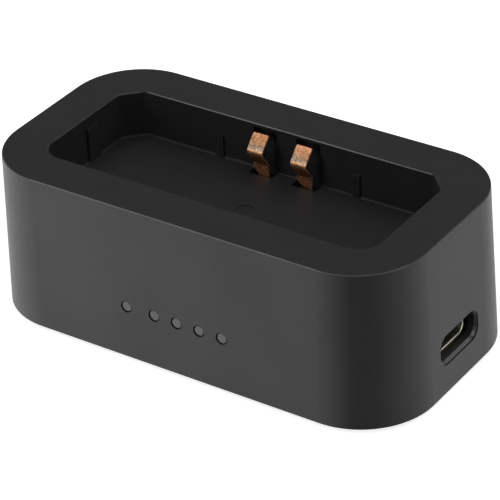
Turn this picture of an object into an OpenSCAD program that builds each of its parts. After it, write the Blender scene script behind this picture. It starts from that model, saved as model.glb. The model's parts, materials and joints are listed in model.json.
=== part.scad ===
// Desktop charger for one camera flash battery. The moulded housing leans out to its foot, its deck holds
// an open battery bay, and two folded copper springs stand at the back of the bay. Millimetres, +Z up, with
// the origin under the middle of the feet, +X towards the power port and -Y towards the row of lights.

/* [Housing] */
// Length of the top face
top_l = 85; // [82:0.5:92]
// Width of the top face
top_w = 44; // [42.5:0.1:50]
// Height of the moulding, without the feet
housing_h = 30; // [29:0.5:34]
// How far each side leans out from the top face to the lower rim
side_lean = 1.05; // [0.2:0.05:1.6]
// Radius of the upright corners, at the top face
corner_r = 13; // [11.5:0.1:14]
// Thickness of the side walls
wall_t = 2; // [1.8:0.1:2.4]
// Thickness of the top deck
deck_t = 2.2; // [1.8:0.1:2.8]
// Radius of the outer top edge
edge_r = 0.25; // [0.2:0.05:0.8]
// Thickness of the ribs between the side walls and the bay
rib_t = 1; // [0.8:0.1:1.4]
// Depth of those ribs below the deck
rib_drop = 6; // [3:0.5:8]

/* [Battery bay] */
// Length of the bay
bay_l = 68.2; // [66:0.2:70]
// Width of the bay
bay_w = 27; // [25:0.1:28]
// Depth of the bay below the top face
bay_depth = 9.05; // [8.8:0.05:9.6]
// Where the bay's middle lies along the housing
bay_x = 0.15; // [-0.5:0.05:0.5]
// Where the bay's middle lies across the housing
bay_y = -0.15; // [-0.5:0.05:0.5]
// Cut across the two back corners of the bay
bay_cut = 3.5; // [2.8:0.1:4.5]
// Radius of the two front corners of the bay
bay_r = 4; // [3:0.1:5]
// Radius where the cuts meet the straight walls
bay_cut_r = 1.5; // [0.6:0.1:2]
// Thickness of the bay's walls
bay_wall_t = 1.8; // [1.5:0.1:2.2]
// Thickness of the bay's floor
bay_floor_t = 1.8; // [1.5:0.1:2.2]
// Bevel round the mouth of the bay
bay_edge = 0.15; // [0.1:0.05:0.6]
// Cove round the bay's floor
bay_cove = 0.3; // [0.2:0.05:0.5]
// Radius of the moulding's witness mark in the middle of the bay floor
witness_r = 1.7; // [1:0.1:2.5]
// Depth of that mark
witness_depth = 0.12; // [0.05:0.01:0.3]

/* [Bay guides] */
// Distance of each back guide from the middle between the springs
guide_x = 14.5; // [12:0.1:20]
// Width of a back guide
guide_w = 1.5; // [1:0.1:2]
// Height of a back guide above the bay floor
guide_h = 4.5; // [3:0.1:6]
// How far the guides stand proud of the bay wall
guide_proud = 0.35; // [0.3:0.05:0.6]
// Width of the pad on each end wall
pad_w = 3.6; // [3:0.1:6]
// Height of that pad above the bay floor
pad_h = 6.8; // [4:0.1:7.5]

/* [Spring contacts] */
// Distance between the middles of the two springs
contact_pitch = 9.2; // [8.4:0.1:11]
// How far the middle between the springs lies from the bay's middle, towards the port
contact_shift = 0.25; // [-0.5:0.05:0.5]
// Width of the copper strip
contact_w = 3.2; // [2.6:0.1:3.4]
// Thickness of the copper strip
contact_t = 0.3; // [0.2:0.05:0.4]
// Distance of the straight leg from the back wall of the bay
leg_gap = 1.6; // [1.4:0.1:2]
// Distance of the nose from the back wall of the bay
nose_gap = 3.65; // [3.4:0.05:4]
// Distance of the upper end from the back wall of the bay
tip_gap = 1.05; // [0.9:0.05:1.3]
// Height of the lower bend above the bay floor
leg_h = 2.2; // [1.8:0.05:2.5]
// Height of the nose above the bay floor
nose_h = 5.25; // [4.9:0.05:5.5]
// Height of the upper end above the bay floor
tip_h = 7.9; // [7.4:0.05:8.1]
// Inner radius of the lower bend
fold_r = 0.45; // [0.3:0.05:0.6]
// Inner radius of the fold at the nose
nose_r = 0.85; // [0.6:0.05:1]
// Radius of the strip's upper corners
tip_r = 0.55; // [0.2:0.05:0.8]
// Length of the foot below the pivot
foot_l = 2.4; // [1.8:0.1:3]
// How much of the strip's width its lower leg loses on one side
leg_taper = 1.3; // [0.8:0.1:1.6]
// Height above the bay floor at which it starts to narrow
taper_h = 1.1; // [0.6:0.05:1.4]
// Play round the strip in the bay floor, on each side
slot_play = 0.9; // [0.6:0.1:1]
// How far a floor slot reaches in front of the back wall
slot_front = 2.25; // [2.1:0.05:2.6]
// Depth of the hollow behind each spring, into the back wall
hollow_depth = 1.5; // [1.3:0.1:1.8]
// Room above each spring in its hollow
hollow_room = 0.45; // [0.3:0.05:0.6]

/* [Contact holder] */
// Width of the holder outside the two springs, on each side
holder_side = 2; // [1.5:0.1:2.5]
// Thickness of the holder in front of and behind the springs
holder_wall = 1.9; // [1.4:0.1:2.4]
// Half the width of the channel that a foot swings in
foot_swing = 0.85; // [0.8:0.05:1]
// Play between a strip and the two edges that it pivots on
pivot_play = 0.12; // [0.08:0.01:0.2]
// Height of the pivot below the underside of the bay
pivot_drop = 0.8; // [0.6:0.1:1.2]
// Diameter of the insulated leads
lead_d = 1.3; // [1:0.1:1.4]
// Play round a lead in its bore
lead_play = 0.15; // [0.1:0.05:0.2]

/* [Charge lights] */
// Height of the row of lights above the lower rim
light_h = 10.27; // [9.9:0.01:11]
// Place of the first light along the front
light_x = -10.05; // [-12:0.05:-8]
// Step from the first light to the second
light_gap = 5.9; // [5:0.1:7]
// Step between the other lights
light_pitch = 4.7; // [4:0.1:5]
// Number of lights after the first
light_count = 4; // [2:1:4]
// Diameter of the holes in the front wall
light_hole_d = 2.3; // [2:0.1:3]
// Play round a window in its hole
light_play = 0.1; // [0.05:0.01:0.15]
// How deep the windows lie in the front face
light_recess = 0.15; // [0.1:0.05:0.6]
// Bevel round a window's face
window_edge = 0.15; // [0.05:0.05:0.3]
// Depth of the light guide's bar, front to back
guide_bar_d = 3.5; // [3:0.1:4]
// How far the bar reaches past the outer lights
guide_bar_end = 3.2; // [2.5:0.1:4]
// Width of the bar's two legs
guide_leg_w = 1.4; // [1:0.1:1.8]
// Length of a light chip
chip_l = 3.2; // [2:0.1:3.5]
// Width of a light chip
chip_w = 1.6; // [1.2:0.1:2]
// Height of a light chip
chip_h = 0.7; // [0.5:0.1:0.9]

/* [Power port] */
// Height of the port's middle above the lower rim
port_h = 8.3; // [8:0.05:9]
// Where the port's middle lies across the end wall
port_y = 0.2; // [-1:0.05:1]
// Width of the port's mouth
mouth_w = 12.6; // [11.6:0.1:13.4]
// Height of the port's mouth
mouth_h = 6.05; // [5.5:0.05:6.5]
// Radius of the mouth's corners
mouth_r = 2.3; // [1.6:0.1:2.6]
// Straight lip before the mouth's bevel
mouth_lip = 0.1; // [0.1:0.05:0.4]
// Bevel inside the mouth
mouth_bevel = 0.5; // [0.4:0.05:0.7]
// Depth of the metal shell's front below the end face
shell_setback = 1.85; // [1.5:0.05:2.2]
// Width of the metal shell
shell_w = 8.94; // [8.6:0.02:9]
// Height of the metal shell
shell_h = 3.26; // [3:0.02:3.4]
// Thickness of the shell's sheet
shell_t = 0.3; // [0.2:0.02:0.35]
// Bevel on the shell's front rim, outside and inside
shell_edge = 0.1; // [0.04:0.02:0.14]
// Length of the shell
shell_l = 7.35; // [6.8:0.05:8]
// Width of the tongue inside the shell
tongue_w = 6.7; // [6.4:0.1:6.9]
// Thickness of the tongue
tongue_t = 0.7; // [0.6:0.02:0.8]
// Depth of the tongue's front below the shell's front
tongue_setback = 0.75; // [0.5:0.05:1]
// Length of the moulded block that closes the shell's back
plug_l = 1.6; // [1.2:0.1:2]
// Number of contact strips on each face of the tongue
pad_count = 12; // [6:1:12]
// Step between those strips
pad_pitch = 0.5; // [0.45:0.01:0.52]
// Width of those strips
pad_strip_w = 0.28; // [0.2:0.01:0.32]

/* [Bottom cover] */
// Thickness of the bottom cover
cover_t = 2; // [1.6:0.1:2.4]
// Gap between the cover and the housing walls
cover_gap = 0.15; // [0.1:0.05:0.25]
// Height of the ribs on the cover
cover_rib_h = 1.1; // [0.6:0.1:1.2]
// Diameter of the cover screws
screw_d = 2.5; // [2:0.1:3]
// Diameter of a cover screw's head
head_d = 4.5; // [4:0.1:5]
// Height of a cover screw's head
head_h = 1.7; // [1.4:0.1:2]
// Length of a cover screw under its head
screw_l = 7; // [5:0.5:8]
// Depth of the screw heads below the cover's face
head_sink = 0.4; // [0.2:0.1:0.8]
// Play round a screw and round its head
screw_play = 0.15; // [0.1:0.05:0.25]
// Thickness of plastic under a screw head
cup_floor_t = 1.2; // [1:0.1:1.6]
// Thickness of plastic round a screw
boss_wall = 1.3; // [1.1:0.1:1.6]
// Diameter of the rubber feet
pad_foot_d = 8; // [6:0.5:9]
// Thickness of the rubber feet
pad_foot_t = 1.6; // [1.4:0.1:2]
// How far the feet stand below the lower rim
foot_drop = 0.8; // [0.5:0.1:1]
// Distance of each foot's middle from the nearer end of the top face
foot_from_end = 17.5; // [16:0.5:24]
// Distance of each foot's middle from the nearer side of the top face
foot_from_side = 8.5; // [8:0.5:12]

/* [Main board] */
// Thickness of the board
board_t = 1.6; // [1:0.1:1.8]
// Gap between the board and what stands beside it
board_gap = 0.5; // [0.3:0.1:0.8]
// Half the width of the board's tongue under the port
board_tongue = 8; // [6:0.5:9]
// Distance of each board screw from the middle, along the charger
board_screw_x = 27.5; // [25:0.5:28]
// Distance of each board screw from the middle, across the charger
board_screw_y = 9.5; // [8:0.5:10.5]
// Diameter of the board screws
board_screw_d = 2; // [1.6:0.1:2.2]
// Diameter of a board screw's head
board_head_d = 3.8; // [3.4:0.1:4.2]
// Height of a board screw's head
board_head_h = 1.3; // [1:0.1:1.5]
// Length of a board screw under its head
board_screw_l = 6; // [4:0.5:8]

/* [Board parts] */
// Side of the power inductor
inductor_l = 7; // [5:0.1:8]
// Height of the power inductor
inductor_h = 4; // [3:0.1:5]
// Diameter of the capacitors
capacitor_d = 6.3; // [5:0.1:6.5]
// Height of the capacitors
capacitor_h = 7.7; // [5:0.1:9]
// Length of the charge controller's body
controller_l = 4.9; // [4:0.1:5.5]
// Width of the charge controller's body
controller_w = 3.9; // [3:0.1:4.5]
// Height of the charge controller above the board
controller_h = 1.6; // [1.2:0.1:1.8]
// Side of a power transistor
transistor_l = 3.3; // [2.5:0.1:3.6]
// Height of a power transistor
transistor_h = 1; // [0.8:0.1:1.4]

/* [Hidden] */
$fn = 64;
// Overlap that joins what is moulded in one piece, and depth by which a cut runs past a face
eps = 0.02;
past = 1;
left = -1;
right = 1;

// Heights above the ground
rim_z = foot_drop;
deck_z = rim_z + housing_h;
under_deck_z = deck_z - deck_t;
bay_floor_z = deck_z - bay_depth;
under_bay_z = bay_floor_z - bay_floor_t;
light_z = rim_z + light_h;
port_z = rim_z + port_h;
board_top_z = port_z - shell_h / 2;
board_z = board_top_z - board_t;
cover_top_z = rim_z + cover_t;
pivot_z = under_bay_z - pivot_drop;
foot_z = pivot_z - foot_l;

// The housing's sides at any height
lean_angle = atan(side_lean / housing_h);
function lean_at(z) = side_lean * (deck_z - z) / housing_h;
function half_l_at(z) = top_l / 2 + lean_at(z);
function half_w_at(z) = top_w / 2 + lean_at(z);

// The bay
bay_front_y = bay_y - bay_w / 2;
bay_back_y = bay_y + bay_w / 2;
bay_end_x = bay_l / 2;
// Its walls' outward directions, from the left wall round by the front, and the middles of its corners
DIAGONAL = sqrt(0.5);
bay_sides = [[-1, 0], [0, -1], [1, 0], [DIAGONAL, DIAGONAL], [0, 1], [-DIAGONAL, DIAGONAL]];
cut_step = bay_cut + bay_cut_r * (sqrt(2) - 1);
bay_corners = [
    [bay_x - bay_end_x + bay_r, bay_front_y + bay_r],
    [bay_x + bay_end_x - bay_r, bay_front_y + bay_r],
    [bay_x + bay_end_x - bay_cut_r, bay_back_y - cut_step],
    [bay_x + bay_end_x - cut_step, bay_back_y - bay_cut_r],
    [bay_x - bay_end_x + cut_step, bay_back_y - bay_cut_r],
    [bay_x - bay_end_x + bay_cut_r, bay_back_y - cut_step]
];
bay_corner_rs = [bay_r, bay_r, bay_cut_r, bay_cut_r, bay_cut_r, bay_cut_r];

// The springs, seen from the end: each point is [distance across, height]
spring_x = bay_x + contact_shift;
leg_y = bay_back_y - leg_gap;
nose_y = bay_back_y - nose_gap;
tip_y = bay_back_y - tip_gap;
contact_xs = [spring_x - contact_pitch / 2, spring_x + contact_pitch / 2];
FOLD_STEPS = 8;
leg_bend = [leg_y, bay_floor_z + leg_h];
nose_bend = [nose_y, bay_floor_z + nose_h];
tip_end = [tip_y, bay_floor_z + tip_h];
foot_end = [leg_y, foot_z];
strip_path = concat(
    [foot_end],
    fold(foot_end, leg_bend, nose_bend, fold_r + contact_t / 2),
    fold(leg_bend, nose_bend, tip_end, nose_r + contact_t / 2),
    [tip_end]
);

// The contact holder
holder_half_w = contact_pitch / 2 + contact_w / 2 + holder_side;
holder_front_y = leg_y - foot_swing - holder_wall;
holder_back_y = leg_y + foot_swing + holder_wall;
holder_gap = 0.1;
foot_end_gap = 0.3;
channel_floor_z = foot_z - foot_end_gap;
channel_side = 0.3;
tower_wall = 1.2;

// The lights, from left to right
light_xs = concat([light_x], [for (i = [0 : light_count - 1]) light_x + light_gap + i * light_pitch]);
window_d = light_hole_d - 2 * light_play;
window_y = -half_w_at(light_z) + light_recess;
front_inside_y = -(half_w_at(light_z + window_d) - wall_t);
bar_gap = 0.3;
bar_front_y = front_inside_y + bar_gap;
bar_back_y = bar_front_y + guide_bar_d;
chip_y = bar_front_y + guide_bar_d / 2;
chip_gap = 0.3;
bar_z = board_top_z + chip_h + chip_gap;
bar_rim = 0.2;
bar_top_z = light_z + window_d / 2 + bar_rim;
bar_left_x = light_xs[0] - guide_bar_end;
bar_right_x = light_xs[light_count] + guide_bar_end;
bar_ledge = 1;
bar_mirror = guide_bar_d - bar_ledge;

// The power port
end_face_x = half_l_at(port_z);
shell_front_x = end_face_x - shell_setback;
shell_back_x = shell_front_x - shell_l;
port_clearance = 0.04;
tab_w = 0.9;
tab_play = 0.1;
tab_inset = [2.2, 1.4];
tab_xs = [shell_front_x - tab_inset[0], shell_back_x + tab_inset[1]];
pad_strip_t = 0.08;
pad_strip_end = 0.6;
pad_strip_l = shell_l - plug_l - tongue_setback - pad_strip_end;

// The cover, its screws and bosses
boss_r = screw_d / 2 + screw_play + boss_wall;
cup_r = head_d / 2 + screw_play + boss_wall;
cup_top_z = rim_z + head_sink + head_h + cup_floor_t;
cup_edge = 0.4;
boss_reach = corner_r + lean_at(cup_top_z) - wall_t - cover_gap - cup_r - cup_edge;
boss_x = top_l / 2 - corner_r + boss_reach / sqrt(2);
boss_y = top_w / 2 - corner_r + boss_reach / sqrt(2);
head_z = rim_z + head_sink;
pilot_extra = 1.5;
pilot_play = 0.05;
foot_play = 0.15;
foot_recess = pad_foot_t - foot_drop;
pad_foot_x = top_l / 2 - foot_from_end;
pad_foot_y = top_w / 2 - foot_from_side;
// The heads' cross recess
cross_w = 0.7;
cross_share = 0.6;
cross_depth = 0.8;

// The main board
board_end_x = boss_x - boss_r - board_gap;
board_front_y = -(half_w_at(board_top_z) - wall_t - board_gap);
board_back_y = boss_y + boss_r - board_gap;
port_overhang = 0.8;
board_port_x = shell_front_x - port_overhang;
board_boss_r = board_screw_d / 2 + pilot_play + boss_wall;

// The parts on the board
inductor_xy = [13, -1];
controller_xy = [2, -2];
transistor_xys = [[-6, -5], [-6, 1]];
input_capacitor_xy = [22, 3];
output_capacitor_xy = [-16, -2];
leg_count = 4;
leg_pitch = 1.27;

// Points of the arc of radius r that rounds the path a, b, c at b
function unit(v) = v / norm(v);
function turn(a, b, c) = (b[0] - a[0]) * (c[1] - b[1]) - (b[1] - a[1]) * (c[0] - b[0]);
function fold(a, b, c, r) =
    let(
        back = unit(a - b),
        ahead = unit(c - b),
        half = acos(back * ahead) / 2,
        centre = b + unit(back + ahead) * r / sin(half),
        side = turn(a, b, c) > 0 ? -1 : 1,
        start = b + back * r / tan(half) - centre,
        sweep = (180 - 2 * half) * -side
    )
    [for (i = [0 : FOLD_STEPS]) centre + spin(start, sweep * i / FOLD_STEPS)];
function spin(v, angle) = [v[0] * cos(angle) - v[1] * sin(angle), v[0] * sin(angle) + v[1] * cos(angle)];

// Outline of a strip of thickness t along a path
function along(path, i) = unit(path[min(i + 1, len(path) - 1)] - path[max(i - 1, 0)]);
function beside(path, i, d) = path[i] + d * [-along(path, i)[1], along(path, i)[0]];
function strip(path, t) = concat(
    [for (i = [0 : len(path) - 1]) beside(path, i, t / 2)],
    [for (i = [len(path) - 1 : -1 : 0]) beside(path, i, -t / 2)]
);

// One side of a leaning block, from its middle out, with an optional round top edge
module leaning_side(reach, height, lean, edge) {
    angle = atan(lean / height);
    middle = [reach - edge * (1 - sin(angle)) / cos(angle), height - edge];
    if (edge > 0) {
        polygon([
            [0, 0], [reach + lean, 0], middle + edge * [cos(angle), sin(angle)],
            middle, [middle[0], height], [0, height]
        ]);
        translate(middle) circle(edge);
    } else {
        polygon([[0, 0], [reach + lean, 0], [reach, height], [0, height]]);
    }
}

// Block with upright round corners: l, w and r hold at its top, and its sides lean out by lean below
module leaning_block(l, w, r, height, lean, edge = 0) {
    for (x = [left, right], y = [left, right])
        translate([x * (l / 2 - r), y * (w / 2 - r), 0])
            rotate_extrude()
                leaning_side(r, height, lean, edge);
    for (turned = [0, 180])
        rotate(turned) {
            rotate([90, 0, 0])
                linear_extrude(height = w - 2 * r, center = true)
                    leaning_side(l / 2, height, lean, edge);
            rotate([90, 0, 90])
                linear_extrude(height = l - 2 * r, center = true)
                    leaning_side(w / 2, height, lean, edge);
        }
}

// The housing's own form between two heights, drawn in by inset on every side
module housing_form(inset, from_z, to_z, edge = 0) {
    lean_top = lean_at(to_z) - inset;
    translate([0, 0, from_z])
        leaning_block(
            top_l + 2 * lean_top, top_w + 2 * lean_top, corner_r + lean_top,
            to_z - from_z, lean_at(from_z) - lean_at(to_z), edge
        );
}

// Where the bay's corner i touches a side, with the outline grown by a distance
function bay_touch(i, side, grow = 0) = bay_corners[i] + (bay_corner_rs[i] + grow) * side;
function after(i) = i < len(bay_corners) - 1 ? i + 1 : 0;

// Outline of the bay without its rounded corners
module bay_straights(grow) {
    polygon([
        for (i = [0 : len(bay_corners) - 1], side = [bay_sides[i], bay_sides[after(i)]])
            bay_touch(i, side, grow)
    ]);
}

// Outline of the bay, grown by a distance on every side
module bay_outline(grow = 0) {
    bay_straights(grow);
    for (i = [0 : len(bay_corners) - 1])
        translate(bay_corners[i]) circle(bay_corner_rs[i] + grow);
}

// The bay's space between two heights, while its outline grows from one distance to another
module bay_flare(from_z, from_grow, to_z, to_grow) {
    height = to_z - from_z;
    core = bay_cut_r / 2;
    translate([0, 0, from_z])
        linear_extrude(height)
            bay_straights(-core);
    for (i = [0 : len(bay_corners) - 1]) {
        side = bay_sides[after(i)];
        start = bay_touch(i, side);
        length = norm(bay_touch(after(i), side) - start);
        translate([bay_corners[i][0], bay_corners[i][1], from_z])
            cylinder(r1 = bay_corner_rs[i] + from_grow, r2 = bay_corner_rs[i] + to_grow, h = height);
        translate([start[0], start[1], from_z])
            rotate(atan2(side[1], side[0]))
                translate([0, length, 0])
                    rotate([90, 0, 0])
                        linear_extrude(length)
                            polygon([[-bay_cut_r, 0], [from_grow, 0], [to_grow, height], [-bay_cut_r, height]]);
    }
}

// Rounded rectangle
module round_rect(w, h, r) {
    square([w - 2 * r, h], center = true);
    square([w, h - 2 * r], center = true);
    for (x = [left, right], y = [left, right])
        translate([x * (w / 2 - r), y * (h / 2 - r)]) circle(r);
}

// Places of what comes in fours
module at_corners(x, y) {
    for (sx = [left, right], sy = [left, right])
        translate([sx * x, sy * y, 0])
            children();
}

// Box between two corners
module block(low, high) {
    translate(low) cube(high - low);
}

module bay_space() {
    translate([0, 0, bay_floor_z + bay_cove])
        linear_extrude(bay_depth)
            bay_outline();
    bay_flare(bay_floor_z, -bay_cove, bay_floor_z + bay_cove, 0);
    bay_flare(deck_z - bay_edge, 0, deck_z, bay_edge);
    translate([bay_x, bay_y, bay_floor_z - witness_depth])
        cylinder(r = witness_r, h = past);
}

// Two upright guides on the back wall and a pad on each end wall
module bay_guides() {
    for (x = [left, right]) {
        translate([spring_x + x * guide_x - guide_w / 2, bay_back_y - guide_proud, bay_floor_z - eps])
            cube([guide_w, guide_proud + eps, guide_h]);
        translate([bay_x + x * (bay_end_x - guide_proud / 2), bay_y + pad_w / 2, bay_floor_z - eps + pad_h / 2])
            cube([guide_proud + eps, pad_w, pad_h], center = true);
    }
}

// Room for both springs: slots in the floor and hollows in the back wall
module contact_space() {
    half = contact_w / 2 + slot_play;
    for (x = contact_xs) {
        block(
            [x - half, bay_back_y - slot_front, under_bay_z - past],
            [x + half, bay_back_y + eps, bay_floor_z + past]
        );
        block(
            [x - half, bay_back_y - eps, under_bay_z - past],
            [x + half, bay_back_y + hollow_depth, bay_floor_z + tip_h + hollow_room]
        );
    }
}

// Thicker wall behind the springs
module contact_tower() {
    half = contact_pitch / 2 + contact_w / 2 + slot_play + tower_wall;
    block(
        [spring_x - half, bay_back_y, under_bay_z],
        [spring_x + half, bay_back_y + hollow_depth + tower_wall, under_deck_z + eps]
    );
}

module housing_ribs() {
    low = under_deck_z - rib_drop;
    far_x = top_l / 2 - wall_t / 2;
    far_y = top_w / 2 - wall_t / 2;
    for (x = [-bay_l / 4, bay_l / 4], y = [left, right])
        translate([x, y * (bay_w / 2 + far_y) / 2, low + rib_drop / 2])
            cube([rib_t, far_y - bay_w / 2, rib_drop + eps], center = true);
    for (x = [left, right])
        translate([x * (bay_end_x + far_x) / 2, 0, low + rib_drop / 2])
            cube([far_x - bay_end_x, rib_t, rib_drop + eps], center = true);
}

module cover_bosses() {
    at_corners(boss_x, boss_y)
        translate([0, 0, cup_top_z])
            cylinder(r = boss_r, h = under_deck_z + eps - cup_top_z);
}

module board_bosses() {
    at_corners(board_screw_x, board_screw_y)
        translate([0, 0, board_top_z])
            cylinder(r = board_boss_r, h = under_bay_z + eps - board_top_z);
}

module pilot_holes() {
    at_corners(boss_x, boss_y)
        translate([0, 0, cup_top_z - past])
            cylinder(d = screw_d + 2 * pilot_play, h = past + screw_l - cup_floor_t + pilot_extra);
    at_corners(board_screw_x, board_screw_y)
        translate([0, 0, board_top_z - past])
            cylinder(d = board_screw_d + 2 * pilot_play, h = past + board_screw_l - board_t + pilot_extra);
}

module light_holes() {
    for (x = light_xs)
        translate([x, -half_w_at(light_z) - past, light_z])
            rotate([-90, 0, 0])
                cylinder(d = light_hole_d, h = wall_t + 2 * past);
}

// The port's mouth, square to the leaning end wall: a straight lip, a bevel and the hole
module port_mouth() {
    hole_w = mouth_w - 2 * mouth_bevel;
    hole_h = mouth_h - 2 * mouth_bevel;
    hole_r = mouth_r - mouth_bevel;
    translate([end_face_x, port_y, port_z])
        rotate([0, 90 + lean_angle, 0])
            rotate(90) {
                translate([0, 0, -mouth_lip])
                    linear_extrude(past + mouth_lip)
                        round_rect(mouth_w, mouth_h, mouth_r);
                translate([0, 0, -mouth_lip])
                    mirror([0, 0, 1])
                        leaning_block(hole_w, hole_h, hole_r, mouth_bevel, mouth_bevel);
                translate([0, 0, -wall_t - past])
                    linear_extrude(wall_t + past - mouth_lip - mouth_bevel)
                        round_rect(hole_w, hole_h, hole_r);
            }
}

module housing() {
    color("#4a4a4b")
        difference() {
            union() {
                difference() {
                    housing_form(0, rim_z, deck_z, edge_r);
                    housing_form(wall_t, rim_z - past, under_deck_z);
                }
                translate([0, 0, under_bay_z])
                    linear_extrude(under_deck_z + eps - under_bay_z)
                        bay_outline(bay_wall_t);
                contact_tower();
                housing_ribs();
                cover_bosses();
                board_bosses();
            }
            difference() {
                bay_space();
                bay_guides();
            }
            contact_space();
            pilot_holes();
            light_holes();
            port_mouth();
        }
}

module bottom_cover() {
    color("#3c3c3d")
        difference() {
            union() {
                housing_form(wall_t + cover_gap, rim_z, cover_top_z);
                at_corners(boss_x, boss_y)
                    translate([0, 0, rim_z + eps])
                        cylinder(r = cup_r, h = cup_top_z - rim_z - eps);
                for (x = [-pad_foot_x, 0, pad_foot_x])
                    translate([x, 0, cover_top_z + (cover_rib_h - eps) / 2])
                        cube([rib_t, 2 * pad_foot_y, cover_rib_h + eps], center = true);
                translate([0, 0, cover_top_z + (cover_rib_h - eps) / 2])
                    cube([2 * boss_x, rib_t, cover_rib_h + eps], center = true);
            }
            at_corners(boss_x, boss_y) {
                translate([0, 0, rim_z - past])
                    cylinder(d = head_d + 2 * screw_play, h = past + head_sink + head_h);
                translate([0, 0, rim_z])
                    cylinder(d = screw_d + 2 * screw_play, h = cup_top_z);
            }
            at_corners(pad_foot_x, pad_foot_y)
                translate([0, 0, rim_z - past])
                    cylinder(d = pad_foot_d + 2 * foot_play, h = past + foot_recess);
        }
}

// Pan head screw standing on its head, with a cross recess below
module screw(shank_d, head_w, head_height, length) {
    difference() {
        union() {
            cylinder(d = head_w, h = head_height);
            cylinder(d = shank_d, h = head_height + length);
        }
        for (turned = [0, 90])
            rotate(turned)
                cube([cross_share * head_w, cross_w, 2 * cross_depth], center = true);
    }
}

module cover_screws() {
    color("#b8b9bb")
        at_corners(boss_x, boss_y)
            translate([0, 0, head_z])
                screw(screw_d, head_d, head_h, screw_l);
}

module board_screws() {
    color("#b8b9bb")
        at_corners(board_screw_x, board_screw_y)
            translate([0, 0, board_z - board_head_h])
                screw(board_screw_d, board_head_d, board_head_h, board_screw_l);
}

module rubber_foot(side_x, side_y) {
    color("#1c1c1d")
        translate([side_x * pad_foot_x, side_y * pad_foot_y, 0])
            cylinder(d = pad_foot_d, h = pad_foot_t);
}

// Front view of a strip: round upper corners, and a lower leg that narrows on its left side
module strip_face() {
    half = contact_w / 2;
    top = bay_floor_z + tip_h + contact_t;
    foot_half = half - leg_taper;
    taper_z = bay_floor_z + taper_h;
    difference() {
        translate([-half, foot_z - contact_t])
            square([contact_w, top - foot_z + contact_t]);
        polygon([
            [-half - eps, taper_z], [-half, taper_z], [-foot_half, taper_z - leg_taper],
            [-foot_half, foot_z - past], [-half - eps, foot_z - past]
        ]);
        for (x = [left, right])
            translate([x * (half - tip_r), top - tip_r])
                difference() {
                    translate([x > 0 ? 0 : -past, 0]) square(past);
                    circle(tip_r);
                }
    }
}

module spring_contact(side) {
    color("#c08250")
        translate([side < 0 ? contact_xs[0] : contact_xs[1], 0, 0])
            intersection() {
                rotate([90, 0, 90])
                    linear_extrude(height = contact_w, center = true)
                        polygon(strip(strip_path, contact_t));
                translate([0, bay_back_y, 0])
                    rotate([90, 0, 0])
                        linear_extrude(nose_gap + leg_gap)
                            strip_face();
            }
}

// Channel that a foot swings in, pinched at the pivot
module foot_channel() {
    pinch = contact_t / 2 + pivot_play;
    half = contact_w / 2 + channel_side;
    translate([0, leg_y, 0])
        rotate([90, 0, 90])
            linear_extrude(height = 2 * half, center = true)
                polygon([
                    [-foot_swing, channel_floor_z], [foot_swing, channel_floor_z],
                    [foot_swing, pivot_z - foot_swing], [pinch, pivot_z], [foot_swing, under_bay_z + eps],
                    [-foot_swing, under_bay_z + eps], [-pinch, pivot_z], [-foot_swing, pivot_z - foot_swing]
                ]);
}

// Insulating tower on the board that holds both springs by their feet
module contact_holder() {
    color("#2b2b2c")
        difference() {
            block(
                [spring_x - holder_half_w, holder_front_y, board_top_z],
                [spring_x + holder_half_w, holder_back_y, under_bay_z - holder_gap]
            );
            for (x = contact_xs)
                translate([x, 0, 0]) {
                    foot_channel();
                    translate([0, leg_y, board_top_z - past])
                        cylinder(d = lead_d + 2 * lead_play, h = channel_floor_z - board_top_z + past + eps);
                }
        }
}

// Insulated lead from a spring's foot down to the board
module contact_lead(side, sleeve) {
    color(sleeve)
        translate([side < 0 ? contact_xs[0] : contact_xs[1], leg_y, board_top_z])
            cylinder(d = lead_d, h = channel_floor_z - board_top_z);
}

// One clear moulding: a bar with a slanting mirror face, two legs and a round window for each light
module light_guide() {
    color("#d9dcdd") {
        translate([bar_left_x, 0, 0])
            rotate([90, 0, 90])
                linear_extrude(bar_right_x - bar_left_x)
                    polygon([
                        [bar_front_y, bar_z], [bar_back_y, bar_z], [bar_back_y, bar_top_z - bar_mirror],
                        [bar_back_y - bar_mirror, bar_top_z], [bar_front_y, bar_top_z]
                    ]);
        for (x = [bar_left_x, bar_right_x - guide_leg_w])
            block([x, bar_front_y, board_top_z], [x + guide_leg_w, bar_back_y, bar_z + eps]);
        for (x = light_xs)
            translate([x, window_y, light_z])
                rotate([-90, 0, 0]) {
                    cylinder(d1 = window_d - 2 * window_edge, d2 = window_d, h = window_edge);
                    translate([0, 0, window_edge])
                        cylinder(d = window_d, h = bar_front_y + eps - window_y - window_edge);
                }
    }
}

module light_chip(index) {
    color("#e9e6d2")
        if (index < len(light_xs))
            translate([light_xs[index] - chip_l / 2, chip_y - chip_w / 2, board_top_z])
                cube([chip_l, chip_w, chip_h]);
}

// Outline of the port's shell, drawn in by inset
module shell_outline(inset) {
    round_rect(shell_w - 2 * inset, shell_h - 2 * inset, shell_h / 2 - inset - eps);
}

module in_port(from_x) {
    translate([from_x, port_y, port_z])
        rotate([90, 0, 90])
            children();
}

// Block on the shell's outline, drawn in by inset at its top and flaring at 45 degrees below it
module shell_flare(inset, height) {
    leaning_block(shell_w - 2 * inset, shell_h - 2 * inset, shell_h / 2 - inset - eps, height, height);
}

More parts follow.
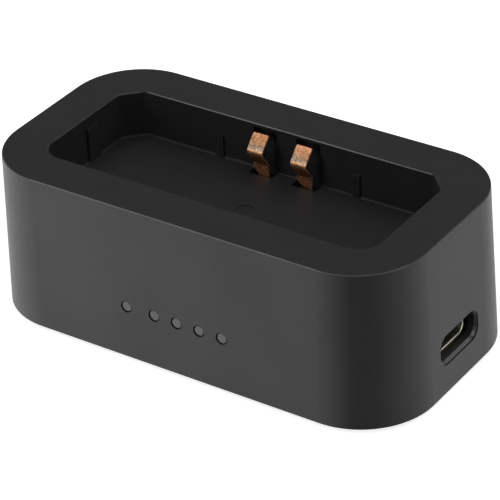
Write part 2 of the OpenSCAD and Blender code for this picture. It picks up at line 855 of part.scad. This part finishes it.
module port_shell() {
    bevel_z = shell_l - shell_edge;
    color("#c9cbcd") {
        in_port(shell_back_x)
            difference() {
                union() {
                    linear_extrude(bevel_z)
                        shell_outline(0);
                    translate([0, 0, bevel_z])
                        shell_flare(shell_edge, shell_edge);
                }
                translate([0, 0, -past])
                    linear_extrude(shell_l + 2 * past)
                        shell_outline(shell_t);
                translate([0, 0, shell_l + past])
                    mirror([0, 0, 1])
                        shell_flare(shell_t, shell_edge + past);
            }
        for (x = tab_xs, y = [left, right])
            translate([x - tab_w / 2, port_y + y * (shell_w - shell_t) / 2 - shell_t / 2, board_z])
                cube([tab_w, shell_t, port_z - board_z]);
    }
}

module port_tongue() {
    color("#23241f") {
        in_port(shell_back_x)
            linear_extrude(plug_l)
                shell_outline(shell_t + port_clearance);
        in_port(shell_back_x)
            linear_extrude(shell_l - tongue_setback)
                square([tongue_w, tongue_t], center = true);
    }
}

module port_pads() {
    color("#c9a24a")
        for (i = [0 : pad_count - 1], face = [left, right])
            in_port(shell_back_x + plug_l + eps)
                translate([(i - (pad_count - 1) / 2) * pad_pitch, face * (tongue_t + pad_strip_t) / 2, 0])
                    linear_extrude(pad_strip_l)
                        square([pad_strip_w, pad_strip_t], center = true);
}

module main_board() {
    color("#1f4a38")
        difference() {
            union() {
                block([-board_end_x, board_front_y, board_z], [board_end_x, board_back_y, board_top_z]);
                block(
                    [board_end_x - eps, port_y - board_tongue, board_z],
                    [board_port_x, port_y + board_tongue, board_top_z]
                );
            }
            at_corners(board_screw_x, board_screw_y)
                translate([0, 0, board_z - past])
                    cylinder(d = board_screw_d + 2 * screw_play, h = board_t + 2 * past);
            for (x = tab_xs, y = [left, right])
                translate([x, port_y + y * (shell_w - shell_t) / 2, board_z])
                    cube([tab_w + 2 * tab_play, shell_t + 2 * tab_play, 2 * board_t + past], center = true);
        }
}

module on_board(xy) {
    translate([xy[0], xy[1], board_top_z])
        children();
}

// Flat package with a row of bent legs on two sides
module charge_controller() {
    leg_w = 0.4;
    leg_t = 0.25;
    leg_reach = 1;
    stand_off = 0.15;
    color("#262628")
        on_board(controller_xy) {
            translate([-controller_l / 2, -controller_w / 2, stand_off])
                cube([controller_l, controller_w, controller_h - stand_off]);
            for (i = [0 : leg_count - 1], y = [left, right])
                translate([(i - (leg_count - 1) / 2) * leg_pitch - leg_w / 2, 0, 0])
                    rotate([90, 0, 90])
                        linear_extrude(leg_w)
                            polygon([for (p = [
                                [-eps, controller_h / 2], [leg_reach / 2, controller_h / 2], [leg_reach / 2, leg_t],
                                [leg_reach, leg_t], [leg_reach, 0], [leg_reach / 2 - leg_t, 0],
                                [leg_reach / 2 - leg_t, controller_h / 2 - leg_t], [-eps, controller_h / 2 - leg_t]
                            ]) [y * (controller_w / 2 + p[0]), p[1]]]);
        }
}

module power_inductor() {
    corner = 1;
    rim = 0.5;
    color("#5b5c5e")
        on_board(inductor_xy)
            difference() {
                linear_extrude(inductor_h)
                    round_rect(inductor_l, inductor_l, corner);
                translate([0, 0, inductor_h - rim / 2])
                    difference() {
                        cylinder(r = inductor_l / 2 - rim, h = past);
                        cylinder(r = inductor_l / 2 - 2 * rim, h = past);
                    }
            }
}

// Metal can on a square base with two cut corners
module capacitor(xy) {
    base_h = 1;
    neck_z = 2;
    neck_h = 0.5;
    neck_in = 0.25;
    base_over = 0.3;
    cut = 1.3;
    half = (capacitor_d + base_over) / 2;
    color("#a9abad")
        on_board(xy) {
            linear_extrude(base_h)
                polygon([
                    [-half, -half], [half, -half], [half, half - cut],
                    [half - cut, half], [cut - half, half], [-half, half - cut]
                ]);
            difference() {
                cylinder(d = capacitor_d, h = capacitor_h);
                translate([0, 0, neck_z])
                    difference() {
                        cylinder(d = capacitor_d + past, h = neck_h);
                        translate([0, 0, -eps])
                            cylinder(d = capacitor_d - 2 * neck_in, h = neck_h + 2 * eps);
                    }
            }
        }
}

module power_transistors() {
    color("#2a2a2c")
        for (xy = transistor_xys)
            on_board(xy)
                translate([-transistor_l / 2, -transistor_l / 2, 0])
                    cube([transistor_l, transistor_l, transistor_h]);
}

housing();
bottom_cover();
cover_screws();
rubber_foot(left, left);  // foot_front_left
rubber_foot(right, left);  // foot_front_right
rubber_foot(left, right);  // foot_back_left
rubber_foot(right, right);  // foot_back_right
spring_contact(left);  // contact_left
spring_contact(right);  // contact_right
contact_holder();
contact_lead(left, "#8a1f1c");  // lead_left
contact_lead(right, "#1b1b1c");  // lead_right
light_guide();
light_chip(0);  // light_1
light_chip(1);  // light_2
light_chip(2);  // light_3
light_chip(3);  // light_4
light_chip(4);  // light_5
port_shell();
port_tongue();
port_pads();
main_board();
board_screws();
charge_controller();
power_inductor();
capacitor(input_capacitor_xy);  // input_capacitor
capacitor(output_capacitor_xy);  // output_capacitor
power_transistors();
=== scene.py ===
"""Looks of a desktop charger for one camera flash battery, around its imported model."""
import json
import math
from functools import partial

import bpy
from mathutils import Matrix, Vector


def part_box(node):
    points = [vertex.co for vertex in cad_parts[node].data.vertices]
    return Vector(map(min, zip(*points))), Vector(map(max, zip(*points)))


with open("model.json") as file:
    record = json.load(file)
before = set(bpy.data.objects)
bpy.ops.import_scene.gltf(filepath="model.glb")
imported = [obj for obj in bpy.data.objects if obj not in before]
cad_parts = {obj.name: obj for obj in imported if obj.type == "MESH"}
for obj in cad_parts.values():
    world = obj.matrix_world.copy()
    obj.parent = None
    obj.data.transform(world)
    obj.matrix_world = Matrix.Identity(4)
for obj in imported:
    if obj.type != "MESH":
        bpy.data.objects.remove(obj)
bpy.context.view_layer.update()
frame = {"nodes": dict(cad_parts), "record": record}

MM = 0.001


def below_top(node, *depths):
    """Heights above the ground, in metres, at depths in millimetres below a node's top."""
    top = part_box(node)[1].z
    return tuple(top - depth * MM for depth in depths)


# Camera

# Fitted to the housing's edges: its turn round the charger, its rise and its roll in degrees, and its place
# and its lens in millimetres
CAMERA_TURN = 35.838
CAMERA_RISE = 32.089
CAMERA_ROLL = -3.371
CAMERA_PLACE = (236.815, -326.96, 266.48)
CAMERA_SENSOR = 36.0
CAMERA_LENS = 194.06


def make_camera():
    """The camera's own axes are worked out level first and then rolled."""
    turn, rise, roll = (math.radians(angle) for angle in (CAMERA_TURN, CAMERA_RISE, CAMERA_ROLL))
    back = Vector((math.sin(turn) * math.cos(rise), -math.cos(turn) * math.cos(rise), math.sin(rise)))
    level = Vector((math.cos(turn), math.sin(turn), 0))
    upright = back.cross(level)
    right = math.cos(roll) * level + math.sin(roll) * upright
    up = -math.sin(roll) * level + math.cos(roll) * upright
    data = bpy.data.cameras.new("camera")
    data.sensor_width = CAMERA_SENSOR
    data.lens = CAMERA_LENS
    camera = bpy.data.objects.new("camera", data)
    axes = Matrix((right, up, back)).transposed().to_4x4()
    camera.matrix_world = Matrix.Translation(Vector(CAMERA_PLACE) * MM) @ axes
    bpy.context.scene.collection.objects.link(camera)
    bpy.context.scene.camera = camera


# Shader helpers

def grey(value):
    return (value,) * 3


def shade(colour, factor):
    return tuple(channel * factor for channel in colour)


def around(value, spread):
    return value - spread, value + spread


class Nodes:
    """A node tree, with short calls for the nodes that the finishes, the floor and the room share.

    A value is either a socket, which is linked, or what the socket is set to.
    """

    def __init__(self, tree):
        self.tree = tree

    def add(self, kind, **settings):
        node = self.tree.nodes.new(kind)
        for key, value in settings.items():
            setattr(node, key, value)
        return node

    def feed(self, socket, value):
        if isinstance(value, bpy.types.NodeSocket):
            self.tree.links.new(value, socket)
        else:
            socket.default_value = value

    def calculate(self, operation, *values):
        node = self.add("ShaderNodeMath", operation=operation)
        for socket, value in zip(node.inputs, values):
            self.feed(socket, value)
        return node.outputs[0]

    def product(self, first, *others):
        for other in others:
            first = self.calculate("MULTIPLY", first, other)
        return first

    def along(self, vector, axis):
        """How far a vector goes along X, Y or Z."""
        node = self.add("ShaderNodeSeparateXYZ")
        self.feed(node.inputs[0], vector)
        return node.outputs[axis]

    def toward(self, vector, direction):
        """How far a vector goes in a direction."""
        node = self.add("ShaderNodeVectorMath", operation="DOT_PRODUCT")
        self.feed(node.inputs[0], vector)
        self.feed(node.inputs[1], direction)
        return node.outputs["Value"]

    def remap(self, value, before=(0.0, 1.0), after=(0.0, 1.0)):
        """Goes between the ends of after, and no further, while the value goes between those of before."""
        node = self.add("ShaderNodeMapRange")
        for key, end in zip(("From Min", "From Max", "To Min", "To Max"), (*before, *after)):
            node.inputs[key].default_value = end
        self.feed(node.inputs["Value"], value)
        return node.outputs["Result"]

    def ramp(self, value, stops):
        """Colour for each stop of a value: stops are (place, colour)."""
        node = self.add("ShaderNodeValToRGB")
        elements = node.color_ramp.elements
        for element, (at, colour) in zip(elements, stops):
            element.position = at
            element.color = (*colour, 1)
        for at, colour in stops[2:]:
            elements.new(at).color = (*colour, 1)
        self.feed(node.inputs["Fac"], value)
        return node.outputs["Color"]

    def mix(self, share, first, second, blend="MIX"):
        """Two colours, each a socket or red, green and blue, mixed by a share."""
        node = self.add("ShaderNodeMix", data_type="RGBA", blend_type=blend)
        self.feed(node.inputs[0], share)
        for socket, colour in ((node.inputs[6], first), (node.inputs[7], second)):
            self.feed(socket, (*colour, 1) if isinstance(colour, tuple) else colour)
        return node.outputs[2]

    def seen_directly(self):
        """1 for rays that show what they meet: to the camera, in a shiny surface or through glass."""
        path = self.add("ShaderNodeLightPath").outputs
        shiny = self.calculate("MAXIMUM", path["Is Glossy Ray"], path["Is Transmission Ray"])
        return self.calculate("MAXIMUM", path["Is Camera Ray"], shiny)


class Finish(Nodes):
    """A material's tree, with the place of each point and the direction that its surface faces."""

    def __init__(self, name):
        self.material = bpy.data.materials.new(name)
        self.material.use_nodes = True
        super().__init__(self.material.node_tree)
        self.surface = self.tree.nodes["Principled BSDF"]
        coordinates = self.add("ShaderNodeTexCoord").outputs
        self.place, self.facing = coordinates["Object"], coordinates["Normal"]

    def height(self, ends):
        """0 to 1 between two heights above the ground, in metres."""
        return self.remap(self.along(self.place, "Z"), ends)

    def straight(self, axis, ends):
        """0 to 1 between two measures of how straight a surface faces along an axis, either way."""
        return self.remap(self.calculate("ABSOLUTE", self.along(self.facing, axis)), ends)

    def stretched(self, scale):
        """The place, scaled along each axis."""
        node = self.add("ShaderNodeMapping")
        node.inputs["Scale"].default_value = scale
        self.feed(node.inputs["Vector"], self.place)
        return node.outputs["Vector"]

    def noise(self, size, detail=2.0, place=None):
        """Noise whose features are about size across, in metres."""
        node = self.add("ShaderNodeTexNoise")
        node.inputs["Scale"].default_value = 1 / size
        node.inputs["Detail"].default_value = detail
        self.feed(node.inputs["Vector"], place or self.place)
        return node.outputs["Fac"]

    def drifting(self, value, colour, drift, ends=(0.3, 0.7)):
        """A colour that is darker by a share where the value is low, and paler where it is high."""
        low, high = ends
        return self.ramp(value, [(low, shade(colour, 1 - drift)), (high, shade(colour, 1 + drift))])

    def bump(self, height, depth, under=None):
        node = self.add("ShaderNodeBump")
        node.inputs["Distance"].default_value = depth
        self.feed(node.inputs["Height"], height)
        if under is not None:
            self.feed(node.inputs["Normal"], under)
        return node.outputs["Normal"]

    def set(self, **values):
        """Feeds sockets of the surface, named with underscores for spaces."""
        for name, value in values.items():
            self.feed(self.surface.inputs[name.replace("_", " ")], value)


# Finishes

def moulded(name, colour, roughness=0.5, level=0.5, grain=0.12 * MM, depth=0.012 * MM, edges=0.0):
    """Moulded plastic: a fine spark grain in its face and its gloss, with a slow drift in its colour."""
    finish = Finish(name)
    slow = finish.noise(size=14 * MM, detail=3)
    fine = finish.noise(size=grain, detail=3)
    tone = finish.drifting(slow, colour, 0.06, (0.35, 0.65))
    speck = finish.ramp(fine, [(0.3, grey(0.94)), (0.7, grey(1.0))])
    finish.set(
        Base_Color=finish.mix(1, tone, speck, "MULTIPLY"),
        Roughness=finish.remap(fine, after=around(roughness, 0.05)),
        Specular_IOR_Level=level,
        Normal=finish.bump(fine, depth),
    )
    if edges:
        polish_edges(finish, edges)
    return finish.material


# Gloss on the housing's edges, which come out of the mould smoother than its faces. It grows between the
# first two of these measures of how far up an edge faces, and fades between the last two
EDGE_SLOPES = (0.12, 0.3, 0.85, 0.97)
# Along Y, two measures of how far an edge faces back and the gloss's share at each: it is full to the front
EDGE_ALONG_Y = ((-0.05, -0.25), (0.3, 1.0))
# The same along X, for how far an edge faces right: it is least to the left
EDGE_ALONG_X = ((-0.35, -0.1), (0.15, 1.0))
# Heights between which it grows from none, round the bay's floor, to all of that, round the deck
FLOOR_EDGE = below_top("housing", 6.8, 4.8)
# Heights below which the edges round the port have their own share of it
PORT_EDGE = below_top("housing", 11.8, 9.8)
PORT_SHINE = 0.7


def polish_edges(finish, share):
    """A thin gloss on edges that lean between level and upright, most where they look ahead."""
    glosses = (grey(0), grey(share), grey(share), grey(0))
    slope = finish.ramp(finish.along(finish.facing, "Z"), list(zip(EDGE_SLOPES, glosses)))
    ahead = finish.remap(finish.along(finish.facing, "Y"), *EDGE_ALONG_Y)
    aside = finish.remap(finish.along(finish.facing, "X"), *EDGE_ALONG_X)
    smooth = finish.product(ahead, aside, finish.height(FLOOR_EDGE))
    finish.set(
        Coat_Weight=finish.product(slope, finish.mix(finish.height(PORT_EDGE), grey(PORT_SHINE), smooth)),
        Coat_Roughness=0.15,
        Coat_IOR=1.5,
    )


def metal(name, colour, roughness=0.3, grain=0.1 * MM, depth=0.004 * MM, stretch=(1, 1, 1), drift=0.08):
    """Bare or plated metal, with brushing or rolling marks stretched along an axis."""
    finish = Finish(name)
    marks = finish.noise(size=grain, detail=4, place=finish.stretched(stretch))
    slow = finish.noise(size=3 * MM)
    finish.set(
        Base_Color=finish.drifting(slow, colour, drift),
        Metallic=1.0,
        Roughness=finish.remap(marks, after=around(roughness, 0.08)),
        Normal=finish.bump(marks, depth),
    )
    return finish.material


# A contact's colours at depths in millimetres below its end, with light and shade painted in: the dull leg,
# the
# # return in painted shade and the lip under its nose in a painted reflection, a pale painted highlight on
# the fold,
# # the plate above it and the bright copper of the end
CONTACT_COLOURS_AND_PAINTED_LIGHT = [
    (5.05, (0.55, 0.24, 0.10)),
    (4.70, (0.37, 0.21, 0.065)),
    (3.85, (0.69, 0.35, 0.13)),
    (3.15, (0.80, 0.40, 0.18)),
    (2.30, (0.56, 0.32, 0.16)),
    (2.18, (0.42, 0.365, 0.31)),
    (1.97, (0.48, 0.36, 0.27)),
    (1.75, (0.37, 0.24, 0.155)),
    (1.35, (0.57, 0.30, 0.17)),
    (0.75, (0.62, 0.28, 0.12)),
    (0.25, (0.78, 0.38, 0.20)),
]
CONTACT_SPARK = (0.95, 0.66, 0.45)
CONTACT_SIDE = (0.85, 0.62, 0.45)


def copper(name):
    """Rolled copper strip: speckled and stained, with light and shade painted in by height, pale cut sides
    and rolling marks.
    """
    finish = Finish(name)
    speck = finish.noise(size=0.26 * MM, detail=4)
    stain = finish.noise(size=0.9 * MM, detail=3)
    rolling = finish.noise(size=0.08 * MM, detail=3, place=finish.stretched((1, 0.12, 0.12)))
    depths, colours = zip(*CONTACT_COLOURS_AND_PAINTED_LIGHT)
    low, high = below_top("contact_left", depths[0], depths[-1])
    places = [(height - low) / (high - low) for height in below_top("contact_left", *depths)]
    # The colour by height paints shade on the return under the nose and a highlight along the fold
    tone = finish.ramp(finish.height((low, high)), list(zip(places, colours)))
    tone = finish.mix(finish.straight("X", (0.5, 0.8)), tone, CONTACT_SIDE)
    tone = finish.mix(finish.remap(speck, (0.52, 0.68), (0.0, 0.55)), tone, CONTACT_SPARK)
    grain = finish.ramp(speck, [(0.34, (0.52, 0.44, 0.38)), (0.5, grey(1))])
    patch = finish.ramp(stain, [(0.35, (0.80, 0.76, 0.72)), (0.6, grey(1))])
    finish.set(
        Base_Color=finish.mix(1, finish.mix(1, tone, grain, "MULTIPLY"), patch, "MULTIPLY"),
        Metallic=0.9,
        Roughness=finish.remap(speck, after=around(0.46, 0.08)),
        Normal=finish.bump(rolling, 0.006 * MM, under=finish.bump(speck, 0.012 * MM)),
    )
    return finish.material


def rubber(name, colour):
    finish = Finish(name)
    fine = finish.noise(size=0.25 * MM, detail=4)
    finish.set(
        Base_Color=finish.drifting(fine, colour, 0.2),
        Roughness=finish.remap(fine, after=around(0.8, 0.08)),
        Specular_IOR_Level=0.3,
        Normal=finish.bump(fine, 0.02 * MM),
    )
    return finish.material


def clear_moulding(name):
    """Smoky diffusing plastic of the light guide, a little cloudy inside."""
    finish = Finish(name)
    cloud = finish.noise(size=0.6 * MM, detail=3)
    finish.set(
        Base_Color=finish.ramp(cloud, [(0.3, (0.045, 0.045, 0.0465)), (0.7, (0.057, 0.057, 0.0585))]),
        Roughness=finish.remap(cloud, after=around(0.32, 0.04)),
        Transmission_Weight=0.15,
        IOR=1.49,
        Normal=finish.bump(cloud, 0.01 * MM),
    )
    return finish.material


LAMINATE = (0.20, 0.185, 0.10)


def circuit_board(name):
    """Green solder mask over glass weave, with the bare laminate at the cut edges."""
    finish = Finish(name)
    weave = finish.add("ShaderNodeTexWave")
    weave.inputs["Scale"].default_value = 1 / (1.2 * MM)
    weave.inputs["Distortion"].default_value = 1.5
    finish.feed(weave.inputs["Vector"], finish.place)
    cloud = finish.noise(size=5 * MM, detail=3)
    mask = finish.ramp(cloud, [(0.35, (0.010, 0.065, 0.032)), (0.65, (0.016, 0.095, 0.046))])
    finish.set(
        Base_Color=finish.mix(finish.straight("Z", (0.3, 0.7)), LAMINATE, mask),
        Roughness=finish.remap(cloud, after=around(0.3, 0.05)),
        Normal=finish.bump(weave.outputs["Fac"], 0.006 * MM),
    )
    return finish.material


# The finish of each of the record's material slots
FINISHES = {
    "housing_plastic": partial(
        moulded, colour=(0.034, 0.034, 0.0345), roughness=0.4, level=0.1, edges=0.6
    ),
    "cover_plastic": partial(
        moulded, colour=(0.035, 0.035, 0.0355), roughness=0.6, level=0.3, grain=0.3 * MM, depth=0.03 * MM
    ),
    "holder_plastic": partial(moulded, colour=(0.02, 0.02, 0.0205), roughness=0.55, level=0.3),
    "tongue_plastic": partial(moulded, colour=(0.03, 0.03, 0.022), roughness=0.4),
    "package_black": partial(moulded, colour=(0.02, 0.02, 0.021), roughness=0.6, level=0.4, grain=0.08 * MM),
    "ferrite_grey": partial(
        moulded, colour=(0.09, 0.09, 0.095), roughness=0.7, level=0.4, grain=0.2 * MM, depth=0.03 * MM
    ),
    "light_chip": partial(moulded, colour=(0.75, 0.70, 0.42), roughness=0.3, grain=0.1 * MM),
    "foot_rubber": partial(rubber, colour=(0.02, 0.02, 0.021)),
    "lead_red": partial(moulded, colour=(0.30, 0.02, 0.015), roughness=0.4),
    "lead_black": partial(moulded, colour=(0.02, 0.02, 0.02), roughness=0.4),
    "contact_copper": copper,
    "screw_steel": partial(metal, colour=(0.55, 0.56, 0.57)),
    "port_steel": partial(
        metal, colour=(0.43, 0.43, 0.36), roughness=0.38, grain=0.3 * MM, depth=0.03 * MM, drift=0.25
    ),
    "pad_gold": partial(metal, colour=(0.80, 0.60, 0.22), roughness=0.25),
    "capacitor_can": partial(metal, colour=(0.60, 0.61, 0.62), roughness=0.28, stretch=(1, 1, 0.1)),
    "guide_clear": clear_moulding,
    "board_green": circuit_board,
}


def dress_nodes():
    """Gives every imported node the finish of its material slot."""
    made = {slot: finish(slot) for slot, finish in FINISHES.items()}
    for part in frame["record"]["subparts"]:
        frame["nodes"][part["node"]].material_slots[0].material = made[part["material_slot"]]


# Studio

# What gloss shows of the room, by how far a direction goes up: white low down and a dim ceiling
SKY_SIDES = 1.0
SKY_CEILING = 0.16
SKY_FADE = (0.10, 0.40)
# A dim side: its direction, how far towards it the room starts to darken and is darkest, and what is left
DIM_SIDE = (0.71, 0.70, 0.0)
DIM_SIDE_FADE = (0.72, 0.90)
DIM_SIDE_SHARE = 0.2
# A bright band: its glow, how far up it begins and ends, its middle, and how far towards that its ends fade
BAND_GLOW = 3.6
BAND_FOOT = (0.22, 0.30)
BAND_HEAD = (0.50, 0.58)
BAND_MIDDLE = (0.53, -0.85, 0.0)
BAND_ENDS = (0.20, 0.34)
# How much of the room lights what is dull
AMBIENT = 0.03
# The paper under the charger: its half width in metres, its grey, and the glow that lifts it to white
PAPER_HALF = 3.0
PAPER_GREY = 0.8
PAPER_GLOW = 0.8


def room_glow(nodes):
    """How bright the room is in each direction."""
    direction = nodes.add("ShaderNodeTexCoord").outputs["Generated"]
    up = nodes.toward(direction, (0, 0, 1))
    sky = nodes.remap(up, SKY_FADE, (SKY_SIDES, SKY_CEILING))
    dim = nodes.remap(nodes.toward(direction, DIM_SIDE), DIM_SIDE_FADE, (1.0, DIM_SIDE_SHARE))
    band = nodes.product(
        nodes.remap(up, BAND_FOOT, (0.0, BAND_GLOW)),
        nodes.remap(up, BAND_HEAD, (1.0, 0.0)),
        nodes.remap(nodes.toward(direction, BAND_MIDDLE), BAND_ENDS),
    )
    return nodes.calculate("ADD", nodes.product(sky, dim), band)


def make_world():
    """White to the camera. Gloss shows the room, which also lights the charger very softly."""
    world = bpy.data.worlds.new("studio")
    bpy.context.scene.world = world
    world.use_nodes = True
    nodes = Nodes(world.node_tree)
    nodes.tree.nodes.clear()
    share = nodes.remap(nodes.seen_directly(), after=(AMBIENT, 1.0))
    room = nodes.add("ShaderNodeBackground")
    nodes.feed(room.inputs["Color"], (1, 1, 1, 1))
    nodes.feed(room.inputs["Strength"], nodes.product(room_glow(nodes), share))
    white = nodes.add("ShaderNodeBackground")
    nodes.feed(white.inputs["Color"], (1, 1, 1, 1))
    shown = nodes.add("ShaderNodeMixShader")
    nodes.feed(shown.inputs["Fac"], nodes.add("ShaderNodeLightPath").outputs["Is Camera Ray"])
    nodes.feed(shown.inputs[1], room.outputs[0])
    nodes.feed(shown.inputs[2], white.outputs[0])
    nodes.feed(nodes.add("ShaderNodeOutputWorld").inputs["Surface"], shown.outputs[0])


def make_floor():
    """Plain paper that shows white and keeps the charger's shadow."""
    corners = [(x * PAPER_HALF, y * PAPER_HALF, 0) for x, y in ((-1, -1), (1, -1), (1, 1), (-1, 1))]
    mesh = bpy.data.meshes.new("floor")
    mesh.from_pydata(corners, [], [range(len(corners))])
    floor = bpy.data.objects.new("floor", mesh)
    bpy.context.scene.collection.objects.link(floor)
    material = bpy.data.materials.new("floor")
    material.use_nodes = True
    nodes = Nodes(material.node_tree)
    nodes.tree.nodes.clear()
    paper = nodes.add("ShaderNodeBsdfDiffuse")
    nodes.feed(paper.inputs["Color"], (*grey(PAPER_GREY), 1))
    glow = nodes.add("ShaderNodeEmission")
    nodes.feed(glow.inputs["Strength"], nodes.product(nodes.seen_directly(), PAPER_GLOW))
    both = nodes.add("ShaderNodeAddShader")
    nodes.feed(both.inputs[0], paper.outputs[0])
    nodes.feed(both.inputs[1], glow.outputs[0])
    nodes.feed(nodes.add("ShaderNodeOutputMaterial").inputs["Surface"], both.outputs[0])
    mesh.materials.append(material)


def area_light(name, place, size, power, aim, in_gloss=True):
    """A flat lamp at a place that faces a point of the charger, in millimetres, with its power in watts."""
    data = bpy.data.lights.new(name, "AREA")
    data.shape = "RECTANGLE"
    data.size, data.size_y = (side * MM for side in size)
    data.energy = power
    place, aim = Vector(place) * MM, Vector(aim) * MM
    facing = (place - aim).to_track_quat("Z", "Y").to_matrix().to_4x4()
    lamp = bpy.data.objects.new(name, data)
    lamp.matrix_world = Matrix.Translation(place) @ facing
    lamp.visible_camera = False
    lamp.visible_glossy = in_gloss
    bpy.context.scene.collection.objects.link(lamp)


def light_studio():
    """Low strips at both ends light the walls, a wide box the deck, and small boxes the bay and edges."""
    make_world()
    make_floor()
    area_light("left_strip", (-381, -220, 7), size=(60, 10), power=4.9, aim=(0, 0, 7), in_gloss=False)
    area_light("right_strip", (332, 241, 7), size=(110, 10), power=1.8, aim=(0, 0, 7), in_gloss=False)
    area_light("top_box", (120, 130, 450), size=(600, 600), power=1.2, aim=(0, 0, 0))
    area_light("back_box", (307, 343, 257), size=(160, 160), power=0.18, aim=(43, 0, 9))
    area_light("fill_box", (-200, -250, 500), size=(150, 150), power=0.36, aim=(0, 0, 31), in_gloss=False)
    area_light("edge_box", (-296, -283, 458), size=(180, 80), power=0.20, aim=(0, 13, 31))
    area_light("front_box", (-307, -493, 186), size=(160, 160), power=0.33, aim=(0, -22, 31))


make_camera()
dress_nodes()
light_studio()
bpy.context.scene.view_settings.view_transform = "Standard"
